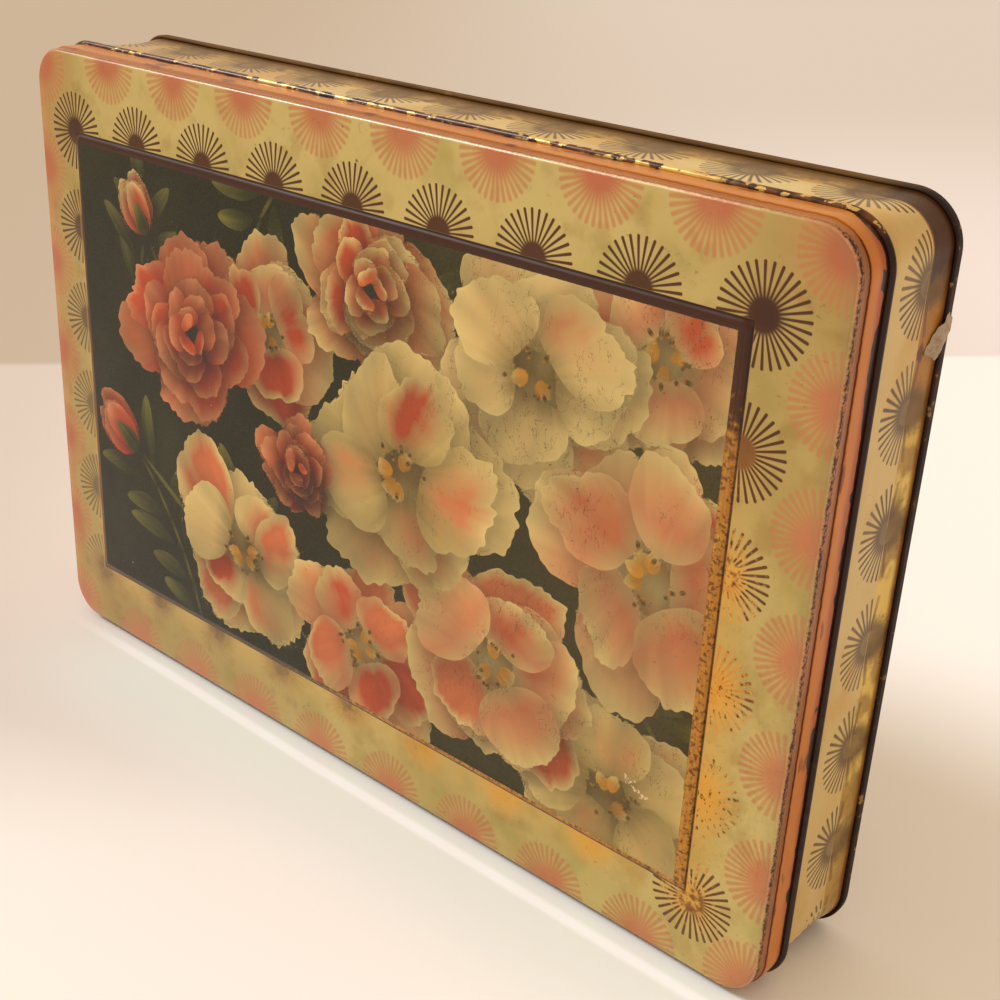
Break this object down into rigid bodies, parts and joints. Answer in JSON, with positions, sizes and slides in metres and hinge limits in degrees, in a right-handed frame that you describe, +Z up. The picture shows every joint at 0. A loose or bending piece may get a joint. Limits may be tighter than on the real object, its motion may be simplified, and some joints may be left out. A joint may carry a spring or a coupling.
{
  "type": "recipe card box",
  "caption": "Shallow printed tinplate box for recipe cards with a lift-off lid, rolled rims and a flared foot, standing on its long edge.",
  "frame": {"origin": "centre of the outline that the tin covers on the surface it stands on, with the tin on its lower long edge", "axes": "+X along the length of the tin, +Y from the lid's face to the base, +Z up"},
  "size_m": [0.2982, 0.0447, 0.2037],
  "materials": {
    "lid_print": "lithographed tinplate under a worn satin varnish",
    "body_print": "lithographed tinplate under a satin varnish",
    "base_enamel": "dark brown stoved enamel, worn at the rim"
  },
  "bodies": {
    "tin_body": {"body_wall": "body_print", "bottom_panel": "base_enamel"},
    "lid": {"lid": "lid_print"}
  },
  "joints": [
    {"name": "lid_lift", "type": "slide", "parent": "tin_body", "child": "lid", "axis": [0, -1, 0], "range_m": [0, 0.06]}
  ]
}
